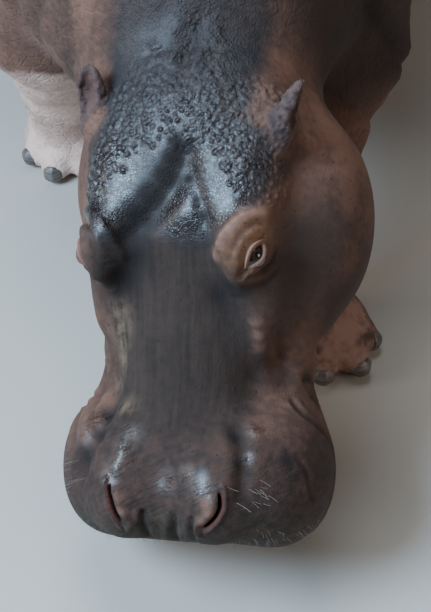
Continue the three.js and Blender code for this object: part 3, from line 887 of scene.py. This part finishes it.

# %% [markdown]
# ## Where each colour lies
# The hide is dark slate on the back and crown, brown on the bridge and muzzle, warm pink-brown on the cheeks
# and belly, and pink on the feet, lids and inner ears. Each of these is one number a point, worked out from
# where the point lies on the animal, and the material then roughens the borders between them. Some numbers
# hold painted light instead: shade in the forehead's hollow, round the eye, on the cheek and muzzle and in
# the creases, and highlights on a few ridges.

# %% Work out the regions
plan_x, plan_y, plan_z = at_plan.T
headness = fall(plan_y, -470, -330) * ramp(up, -470, -430)
off_middle = headness * np.abs(left) + (1 - headness) * np.abs(plan_x - 20)
off_middle += (1 - 0.8 * headness) * (22 * np.sin(plan_y / 53 + plan_x / 90)
                                     + 12 * np.sin(plan_y / 21 + plan_z / 34))
back_width = 124 + 300 * ramp(plan_y, -250, 500) + 48 * headness * bell(ahead - 150, 80)
dorsal = fall(off_middle, back_width * 0.8, back_width * (1.7 - 0.4 * headness)) * np.where(
    headness > 0.5, ramp(up, -190, -120), ramp(facing[:, 2], -0.15, 0.3) * ramp(plan_z, 500, 700))
pink_top = 400 + 210 * ramp(-plan_x, 0, 120) * fall(plan_y, 400, 900)
orbits = spots((141, -284, 4, 50), (150, -262, -12, 44), power=3)
valley = spots((8, -104, -6, 16), (2, -132, -8, 22), (-10, -160, -8, 28), (-36, -194, -10, 31),
               (-62, -228, -11, 33), (-84, -262, -6, 34), (-70, -294, -24, 38), (30, -165, -9, 9),
               (47, -200, -10, 10), (60, -228, -12, 11))
sheen = spots((79, -684, 10, 27), (50, -668, 4, 22), (12, -684, -10, 24), (-64, -600, -20, 24),
              (-69, -630, -6, 22), (-76, -655, 4, 20), (-88, -676, 8, 20), (-146, -583, -69, 28),
              (-160, -610, -60, 22), (150, -588, -60, 20), (150, -635, -34, 13), (24, -228, -12, 30),
              (28, -205, -10, 20), (90, -212, -4, 24), (112, -200, -4, 20), (-134, -170, -10, 46),
              (-128, -222, -4, 36))
shade = spots((102, -345, -44, 24), (78, -362, -50, 24), (125, -352, -48, 18), (-96, -330, -30, 38),
              (-128, -572, -70, 22), (-132, -604, -36, 20), (-150, -650, -45, 24), (120, -600, -40, 16),
              (134, -645, -22, 13), (203, -640, -74, 15), (214, -668, -90, 10))
# Painted shade on the left cheek beside the eye; on the left of the neck and shoulder, painted shade together
# with the hide's own darker red-brown.
cheek_shade = headness * np.exp(-(((left - 200) / 62) ** 2 + ((ahead - 290) / 120) ** 2))
neck_shade_and_dark_hide = (1 - headness) * ramp(plan_x, 120, 230) * fall(plan_y, 100, 500) * ramp(plan_z, 400, 560)
REGIONS = {
    "crown": dorsal * (1 - headness * ramp(ahead, 225, 325)) * (1 - orbits * (left > 0)),
    "bridge": headness * fall(np.abs(left), 70, 185) * ramp(ahead, 200, 330) * fall(ahead, 560, 700),
    "muzzle": headness * ramp(ahead, 520, 690),
    "trunk": 1 - headness,
    "shade": np.maximum(valley, shade),
    "shade_and_dark_hide": np.maximum(cheek_shade, neck_shade_and_dark_hide),
    "ear": headness * ramp(body(rest), 1, 6),
    "flap": spots((90, -712, 10, 13), (94, -728, 8, 12), (84, -742, 2, 11), (-70, -712, 8, 10),
                  (-66, -735, 6, 10)),
    "roll": roll,
    "olive": headness * ramp(ahead, 700, 765) * fall(up, -40, 20),
    "amber": orbits * np.where(left > 0, 1, 0.3),
    # Painted highlight on the left brow ridge and the left cheek ridge.
    "ridge": spots(*[(*stop, 12) for stop in BROW[1:6]], (104, -260, 7, 12), (125, -237, 4, 12),
                   (149, -223, -13, 12), (141, -404, -71, 9), (142, -425, -82, 9), (143, -448, -96, 8)),
    # Pale tan streaks down the raised ridge on the right of the bridge: partly the hide's own tan, partly
    # painted highlight.
    "tan_and_highlight": spots(*[(-112 + 3 * k % 5, -395 - 26 * k, -62 - 13 * k, 20) for k in range(6)],
                 (-88, -560, -52, 18), (-135, -420, -95, 14), (-136, -465, -120, 14)),
    "pink": (1 - headness) * fall(plan_z / pink_top, 0.5, 1),
    "fore_right": ramp(-plan_x, 60, 120) * fall(plan_y, 500, 700),
    "fore_left": (1 - headness) * ramp(plan_x, 60, 120) * fall(plan_y, -60, 60) * fall(plan_z, 240, 400),
    "belly": ramp(-facing[:, 2], 0.1, 0.8) * (1 - headness),
    "wart_zone": np.maximum(crown_band * headness, nape_band * 0.7),
    "wrinkle_zone": headness * ramp(ahead, 90, 150) * fall(ahead, 235, 300) * ramp(up, -150, -85),
    "wet": dorsal * (1 - headness * ramp(ahead, 230, 300)) * (1 - valley) * (1 - orbits) * (
        1 - 0.45 * ramp(plan_y, -640, -480)),
    "sheen": sheen,
    "crease_shade": np.clip(crease_shade, 0, 1),
    "lid": lid,
    "margin": margin,
    "slit": slit,
    "rim": rimmed,
}
hollows = [np.minimum(-ear(rest, side, False), 20) * ramp(-egg(in_ear(rest, side)[0], *HOLLOW), -4, 2)
           for side in EAR_SEATS]
REGIONS["inner_ear"] = np.clip(np.maximum(*hollows) / 5, 0, 1)


def keep(mesh, name, values, kind="FLOAT"):
    """Give every point of a mesh its number or vector, under a name that materials and trees can read."""
    kept = mesh.attributes.new(name, kind, "POINT").data
    kept.foreach_set("value" if kind == "FLOAT" else "vector", np.array(values, np.float32).ravel())


for name, values in REGIONS.items():
    keep(hide.data, name, values)
print("regions:", {name: round(float(values.mean()), 3) for name, values in REGIONS.items()})

# %% [markdown]
# ## The hide's material
# Colour first: broad regions with ragged borders, then mottling, specks, painted shade in creases, hollows
# and nostril slits, and painted highlights on a few ridges. Then relief, which matters more, because a wet
# hide is
# seen by its glints: warts, cross wrinkles on the forehead, long streaks down the bridge and a fine crackle
# everywhere. Patterns on the head turn with the head. Wetness is mostly a lower roughness, with only a thin
# coat, because a coat lies smooth over the relief and looks waxy.

# %% Set out the pattern tools
def object_place(tree):
    return Wire.node(tree, "ShaderNodeTexCoord", {}, {}, "Object")


hide_paint, hide_tree, hide_shader = start_material("hide", Specular_IOR_Level=0.46, Coat_Roughness=0.30)
place = object_place(hide_tree)
head_place = Wire.node(hide_tree, "ShaderNodeMapping", {"vector_type": "TEXTURE"},
                       {"Vector": place, "Location": tuple(from_head([[0, 0, 0]])[0]),
                        "Rotation": tuple(HEAD_TURN.to_euler())})


def stretched(wire, scale, turn=0.0):
    """Turned about the third axis, then scaled differently along each."""
    return Wire.node(wire.socket.id_data, "ShaderNodeMapping", {"vector_type": "TEXTURE"},
                     {"Vector": wire, "Scale": tuple(1 / k for k in scale), "Rotation": (0, 0, turn)})


def noise(wire, scale, detail=3, warp=0.0):
    return Wire.node(wire.socket.id_data, "ShaderNodeTexNoise", {},
                     {"Vector": wire, "Scale": scale, "Detail": detail, "Distortion": warp})


def cells(wire, scale, feature="F1", output="Distance"):
    return Wire.node(wire.socket.id_data, "ShaderNodeTexVoronoi", {"feature": feature},
                     {"Vector": wire, "Scale": scale}, output)


region = {name: read(hide_tree, name) for name in REGIONS}
rough_edge = (noise(place, 9, 5, 0.8) - 0.5) * 1.3


def ragged(name, low=0.3, high=0.7):
    """A region whose border is broken up, but which stays off where the region is nothing."""
    broken = rough_edge * (1 - region["trunk"] * 0.55) * region[name].between(0.0, 0.25)
    return (region[name] + broken).between(low, high)


print("regions read:", len(region))

# %% Colour the hide
FLANK, WARM = (0.050, 0.024, 0.015, 1), (0.160, 0.076, 0.050, 1)
SLATE, INK = (0.007, 0.005, 0.006, 1), (0.019, 0.013, 0.014, 1)
BROWN, DARK = (0.013, 0.007, 0.005, 1), (0.004, 0.002, 0.002, 1)
UMBER, LIP_BROWN = (0.036, 0.021, 0.015, 1), (0.050, 0.025, 0.018, 1)
ROSE, PALE, SALMON_WITH_PAINTED_LIGHT = (0.15, 0.078, 0.060, 1), (0.30, 0.165, 0.13, 1), (0.72, 0.52, 0.44, 1)
DUSTY, MUD_AND_SHADE = (0.27, 0.15, 0.12, 1), (0.050, 0.028, 0.022, 1)
AMBER, RUST = (0.185, 0.086, 0.042, 1), (0.090, 0.038, 0.018, 1)
TAN_AND_HIGHLIGHT, OLIVE = (0.165, 0.108, 0.070, 1), (0.052, 0.034, 0.020, 1)
EAR_DARK, EAR_LIGHT = (0.028, 0.018, 0.020, 1), (0.085, 0.052, 0.050, 1)
RED, MAUVE, BLUSH_AND_HIGHLIGHT = (0.110, 0.022, 0.014, 1), (0.110, 0.054, 0.042, 1), (0.290, 0.150, 0.105, 1)
SLIT_SHADE = (0.006, 0.002, 0.002, 1)
mottle = noise(place, 6.5, 5, 0.6)
fine = noise(place, 70, 4)
grainy = mottle * 0.45 + fine * 0.6
mud = (noise(place, 16, 4, 0.5) * 0.8 + fine * 0.3).between(0.42, 0.7)
streaks = noise(stretched(head_place, (95, 7, 40)), 1, 3)
speck = (0.17 - cells(place, 62)).between(0, 0.07) * cells(place, 62, "F1", "Color").between(0.40, 0.55)
colour = (mottle * 0.75 + fine * 0.35).between(0.35, 0.75).blend(FLANK, WARM)
for mask, shade in (
    (ragged("belly"), ROSE),
    (ragged("pink"), mud.blend(PALE, ROSE)),
    # The right foreleg is its own salmon pink, made paler as painted light.
    (region["fore_right"] * ragged("pink"), (mud * 0.5).blend(SALMON_WITH_PAINTED_LIGHT, PALE)),
    # The left forefoot mottles between dusty pink and dark brown, the brown partly mud and partly painted
    # shade.
    (region["fore_left"] * 0.75, mud.blend(DUSTY, MUD_AND_SHADE)),
    # Painted shade on the cheek, and on the shoulder painted shade with darker hide.
    (region["shade_and_dark_hide"] * 0.85, BROWN),
    (ragged("bridge", 0.02, 0.8), (grainy * 0.6 + streaks * 0.45).between(0.35, 0.72).blend(BROWN, UMBER)),
    # Tan streaks on the right ridge, partly own colour and partly painted highlight.
    (region["tan_and_highlight"] * (streaks * 0.7 + fine * 0.5).between(0.35, 0.75), TAN_AND_HIGHLIGHT),
    (ragged("muzzle", 0.05, 0.9) * 0.93, grainy.between(0.35, 0.7).blend(BROWN, LIP_BROWN)),
    (ragged("olive"), grainy.between(0.35, 0.7).blend(BROWN, OLIVE)),
    (ragged("crown", 0.12, 0.85) * (1 - region["trunk"] * 0.28), fine.between(0.35, 0.7).blend(SLATE, INK)),
    (region["amber"] * 0.9, grainy.between(0.35, 0.7).blend(RUST, AMBER)),
    # Painted highlight on the brow and cheek ridges; the nostril flaps are paler.
    (region["ridge"] * 0.6 + region["flap"] * 0.4, BLUSH_AND_HIGHLIGHT),
    (region["shade"] * 0.92, DARK),
    (speck * 0.6 * (1 - region["crown"]) * (1 - region["pink"] * 0.7), DARK),
    (region["ear"] * 0.8, fine.between(0.3, 0.7).blend(EAR_DARK, EAR_LIGHT)),
    (region["inner_ear"] * 0.6, MAUVE),
    # Painted shade in the creases.
    (region["crease_shade"] * 0.75, DARK),
    (region["lid"] * 0.6, MAUVE),
    (region["roll"] * 0.75, BLUSH_AND_HIGHLIGHT),
    (region["rim"] * 0.75, RED),
    # Painted shade: the inside of each nostril slit near-black.
    (region["slit"].between(0.4, 0.9), SLIT_SHADE),
):
    colour = mask.blend(colour, shade)
feed(hide_shader, Base_Color=colour)
print("colour laid over", len(hide_tree.nodes), "nodes")

# %% Raise the relief, in metres, and wet it
warted = region["wart_zone"].between(0.05, 0.6)
pebbled = warted * 0.4 + region["crown"] * 0.7 + region["sheen"] * 0.5
bumps = (0.55 - cells(head_place, 84)).between(0, 0.5) * 0.0018 * warted
bumps = bumps + (0.55 - cells(place, 165)).between(0, 0.5) * 0.0009 * pebbled
bumps = bumps + noise(place, 60, 3, 0.4) * 0.0015 * region["crown"]
wrinkles = noise(stretched(head_place, (24, 105, 50)), 1, 3, 0.6) * 0.0022 * region["wrinkle_zone"]
drawn = noise(stretched(head_place, (170, 12, 60)), 1, 3) * 0.0010 * region["bridge"]
crinkle = noise(stretched(head_place, (26, 165, 60), radians(28)), 1, 2, 0.25) * (
    region["muzzle"] * 0.0018 + region["sheen"] * 0.0032)
crackle = cells(place, 230, "DISTANCE_TO_EDGE").between(0, 0.14) * 0.00034
grain = noise(place, 260, 3) * 0.0008
creased = noise(place, 17, 5, 1.2) * (0.0016 + region["trunk"] * 0.0034)
lattice = cells(stretched(place, (1, 0.6, 1)), 48, "DISTANCE_TO_EDGE").between(0, 0.16) * 0.0009
lattice = lattice * region["trunk"]
height = bumps + wrinkles + drawn + crinkle + crackle + grain + creased + lattice
wetness = (region["wet"] * 0.8 + rough_edge * 0.5 * region["wet"] + region["sheen"] * 0.9).between(0.1, 0.95)
rough = 0.86 + region["bridge"] * 0.06 - wetness * 0.62 + (fine - 0.5) * 0.16 - region["margin"] * 0.2
feed(hide_shader, Normal=bumped(hide_tree, height), Roughness=rough,
     Coat_Weight=wetness * 0.20 + region["sheen"] * 0.22)
repaint(hide.data, hide_paint)
print("hide material:", len(hide_tree.nodes), "nodes")

# %% [markdown]
# ## Eyes
# The eyeball is nearly all dark, with a brown iris and a clear bulge over it that catches the light. A ball
# turned to its gaze keeps its colours in one number a point, the angle from the gaze, so the pattern needs
# no image and stays put however the eye is turned.

# %% Make the eyeballs
eye_paint, eye_tree, eye_shader = start_material("eyeball", Roughness=0.12, Coat_Roughness=0.03,
                                                 Coat_Weight=0.5)
angle = read(eye_tree, "from_gaze")
iris_rays = noise(object_place(eye_tree), 420, 3)
PUPIL, IRIS = (0.002, 0.002, 0.002, 1), (0.020, 0.010, 0.005, 1)
IRIS_RIM, EYE_WHITE = (0.010, 0.006, 0.004, 1), (0.035, 0.018, 0.014, 1)
front = (angle + iris_rays * 5).between(11, 15).blend(PUPIL, IRIS)
around = (angle + iris_rays * 14).between(40, 75).blend(IRIS_RIM, EYE_WHITE)
feed(eye_shader, Base_Color=angle.between(26, 31).blend(front, around))
BULGE = 1.3  # how far the clear front stands out, in millimetres


def eyeball(name, s):
    centre, gaze, _, _ = eye_axes(s)
    mesh = ball_mesh(name)
    ways = points_of(mesh)
    turned = np.degrees(np.arccos(np.clip(ways @ gaze, -1, 1)))
    radius = EYE_RADIUS - 0.6 + BULGE * fall(turned, 0, 34)
    mesh.vertices.foreach_set("co", from_head(centre + ways * radius[:, None]).ravel())
    keep(mesh, "from_gaze", turned)
    mesh.shade_smooth()
    repaint(mesh, eye_paint)
    return link(name, mesh)


eyeballs = [eyeball("eyeball_left", 1), eyeball("eyeball_right", -1)]
print("eyeballs:", [len(e.data.polygons) for e in eyeballs], "triangles")

# %% [markdown]
# ## Nails
# Each toe ends in a blunt grey nail, ridged along its growth and worn smooth at the rim. The facets of the
# plain nails are remeshed finely and softened; lines of growth follow the height above the ground.

# %% Make the sixteen nails
NAILS = [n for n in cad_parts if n.startswith("nail_")]
nails = remeshed(gathered("nails", NAILS, swell=0), voxel=0.0034)
soften = nails.modifiers.new("soften", "SMOOTH")
soften.factor, soften.iterations = 0.5, 5
applied(nails).data.shade_smooth()
nail_paint, nail_tree, nail_shader = start_material("nail", Coat_Weight=0.25, Coat_Roughness=0.2)
nail_place = object_place(nail_tree)
growth = noise(stretched(nail_place, (30, 30, 420)), 1, 3)
worn = noise(nail_place, 55, 4)
HORN_DARK, HORN_PALE = (0.028, 0.024, 0.024, 1), (0.155, 0.130, 0.115, 1)
feed(nail_shader, Base_Color=(growth * 0.6 + worn * 0.5).between(0.35, 0.75).blend(HORN_DARK, HORN_PALE),
     Roughness=0.34 + worn * 0.3, Normal=bumped(nail_tree, growth * 0.0006 + worn * 0.0006))
repaint(nails.data, nail_paint)
print("nails:", len(nails.data.polygons), "faces on", len(NAILS), "toes")

# %% [markdown]
# ## Bristles
# A hippopotamus is nearly bare, but stiff bristles fringe the lips, the ears and the tail. Each grows from a
# root that knows its direction, length and paleness. Geometry Nodes put one bent, tapered bristle on every
# root and make the copies real, because copies that stay instances are lost when the model is used elsewhere.

# %% Plant the roots
roots = {"at": [], "lie": [], "long": [], "pale": [], "root_uv": []}
turn_round = np.arctan2(rest[:, 0], rest[:, 2] - 0.6) / (2 * pi)
unwrap = np.stack([0.5 + turn_round * 0.96, 0.5 + rest[:, 1] / 3.4, np.zeros(len(rest))], -1)
ROOT_DEPTH = 0.0015


def plant(density, count, lie, long, pale):
    """Root up to count bristles where density is high, leaning from the skin's outward way towards lie."""
    weights = np.where(density > 0.02, density, 0)
    count = min(count, int((weights > 0).sum()))
    for pick in chance.choice(len(rest), count, replace=False, p=weights / weights.sum()):
        way = facing[pick] + np.array(lie) + chance.normal(0, 0.16, 3)
        roots["at"].append(moved[pick] - facing[pick] * ROOT_DEPTH)
        roots["lie"].append(way / np.linalg.norm(way))
        roots["long"].append(long * chance.uniform(0.55, 1.25))
        roots["pale"].append(np.clip(pale + chance.normal(0, 0.15), 0, 1))
        roots["root_uv"].append(unwrap[pick])


down = HEAD[:, 2] * -1
upper_lip = headness * ramp(ahead, 740, 775) * ramp(-up, 40, 90) * fall(-up, 225, 240)
lower_lip = headness * ramp(ahead, 600, 680) * ramp(-up, 245, 258) * fall(-up, 300, 330)
plant(upper_lip, 420, down * 0.9, long=0.013, pale=0.5)
plant(lower_lip, 150, down * 0.8, long=0.014, pale=0.4)
for s, spot in ((1, (160, -684, -44)), (-1, (-176, -680, -60))):
    plant(bell(np.linalg.norm(at_head - spot, axis=1), 30), 14, (s * 0.8, -0.5, -0.2), long=0.030, pale=0.6)
for side in EAR_SEATS:
    seat, axes = ear_axes(side)
    local = (at_head - seat) @ axes
    (_, high, _), (wide, long, _) = LEAF
    rim_gap = np.abs(np.sqrt((local[:, 0] / wide) ** 2 + ((local[:, 1] - high) / long) ** 2) - 0.93)
    on_rim = bell(rim_gap, 0.07) * (local[:, 1] > 20) * (np.linalg.norm(local, axis=1) < 125)
    plant(on_rim, 46, HEAD @ axes[:, 1] * 0.8, long=0.006, pale=0.25)
tail_edge = ramp(plan_y, 1940, 1960) * fall(plan_z, 800, 880) * ramp(np.abs(facing[:, 1]), 0.3, 0.8)
plant(tail_edge, 260, (0, 0, -1.6), long=0.034, pale=0.15)
print("roots:", len(roots["at"]))

# %% Build the bristle tree
def bristle_tree():
    """One bent, tapered stem, four-sided, set on every root; Bend is in thicknesses."""
    tree = bpy.data.node_groups.new("bristles", "GeometryNodeTree")
    face = tree.interface
    face.new_socket("Geometry", in_out="INPUT", socket_type="NodeSocketGeometry")
    for name, kind in (("Thickness", "Float"), ("Bend", "Float"), ("Seed", "Int")):
        face.new_socket(name, in_out="INPUT", socket_type="NodeSocket" + kind)
    face.new_socket("Geometry", in_out="OUTPUT", socket_type="NodeSocketGeometry")
    given = tree.nodes.new("NodeGroupInput")

    def got(name):
        return Wire(given.outputs[name])

    def add(kind, settings=None, output=0, **values):
        """A node whose sockets are called by name."""
        values = {key.replace("_", " "): value for key, value in values.items()}
        return Wire.node(tree, kind, settings or {}, values, output)

    def geo(kind, settings=None, **values):
        return add("GeometryNode" + kind, settings, **values)

    def vector(operation, first, second):
        key = "Scale" if operation == "SCALE" else 1
        return Wire.node(tree, "ShaderNodeVectorMath", {"operation": operation}, {0: first, key: second})

    def named(name, kind="FLOAT_VECTOR"):
        return geo("InputNamedAttribute", {"data_type": kind}, Name=name)

    def joined(**parts):
        return add("ShaderNodeCombineXYZ", **parts)

    stem = geo("CurveQuadraticBezier", Resolution=4, Start=(0, 0, 0), Middle=(0, 0, 0.5), End=(0, 0, 1))
    stem = geo("SetCurveRadius", Curve=stem, Radius=1 - geo("SplineParameter") * 0.88)
    round_section = geo("CurvePrimitiveCircle", Resolution=4, Radius=1.0)
    one = geo("CurveToMesh", Curve=stem, Profile_Curve=round_section, Fill_Caps=True)
    own = geo("InputPosition")
    rise = add("ShaderNodeSeparateXYZ", output=2, Vector=own)
    one = geo("SetPosition", Geometry=one, Offset=joined(X=rise * rise * got("Bend")))
    patch = vector("MULTIPLY", own, (0.06, 0.4, 1))
    one = geo("StoreNamedAttribute", {"data_type": "FLOAT_VECTOR"}, Geometry=one, Name="patch", Value=patch)
    turn = add("FunctionNodeAlignRotationToVector", {"axis": "Z"}, Vector=named("lie"))
    spin = Wire.node(tree, "FunctionNodeRandomValue", {"data_type": "FLOAT"},
                     {2: 0.0, 3: 2 * pi, "Seed": got("Seed")}, 1)
    spun = add("FunctionNodeAxisAngleToRotation", Axis=(0, 0, 1), Angle=spin)
    turn = add("FunctionNodeRotateRotation", {"rotation_space": "LOCAL"}, Rotation=turn, Rotate_By=spun)
    size = joined(X=got("Thickness"), Y=got("Thickness"), Z=named("long", "FLOAT"))
    points = geo("MeshToPoints", Mesh=got("Geometry"))
    copies = geo("InstanceOnPoints", Points=points, Instance=one, Rotation=turn, Scale=size)
    real = geo("RealizeInstances", Geometry=copies)
    flat = vector("ADD", named("root_uv"), vector("SCALE", named("patch"), 0.003))
    real = geo("StoreNamedAttribute", {"data_type": "FLOAT2", "domain": "CORNER"},
               Geometry=real, Name="OFBake", Value=flat)
    painted = geo("SetMaterial", Geometry=real, Material=bristle_paint)
    tree.links.new(painted.socket, tree.nodes.new("NodeGroupOutput").inputs["Geometry"])
    return tree


bristle_paint, paint_tree, paint_shader = start_material("bristle", Roughness=0.42)
hair = read(paint_tree, "pale").blend((0.030, 0.018, 0.013, 1), (0.62, 0.55, 0.47, 1))
feed(paint_shader, Base_Color=hair)
tree_of_bristles = bristle_tree()
print("bristle tree:", len(tree_of_bristles.nodes), "nodes")

# %% Grow the bristles
seeds = bpy.data.meshes.new("bristles")
seeds.from_pydata([tuple(p) for p in roots["at"]], [], [])
for name in ("lie", "root_uv"):
    keep(seeds, name, roots[name], "FLOAT_VECTOR")
for name in ("long", "pale"):
    keep(seeds, name, roots[name])
bristles = link("bristles", seeds)
grower = bristles.modifiers.new("grow", "NODES")
grower.node_group = tree_of_bristles
items = tree_of_bristles.interface.items_tree
sockets = {item.name: item.identifier for item in items if item.in_out == "INPUT"}
for name, value in (("Thickness", 0.00016), ("Bend", 24.0), ("Seed", 5)):
    grower[sockets[name]] = value
mesh = applied(bristles).data
print("bristles:", len(mesh.polygons), "faces; UV maps", [layer.name for layer in mesh.uv_layers])

# %% [markdown]
# ## Riding and replacing
# Every piece rides on the root body, and the solids that it stands for are hidden.

# %% Ride and replace
for piece, slot, nodes in (
    (hide, "hide", FLESH + EARS),
    (eyeballs[0], "eye", ["eye_left"]),
    (eyeballs[1], "eye", ["eye_right"]),
    (nails, "nail", NAILS),
    (bristles, "bristle", []),
):
    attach(piece, "root")
    if nodes:
        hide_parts(*nodes)
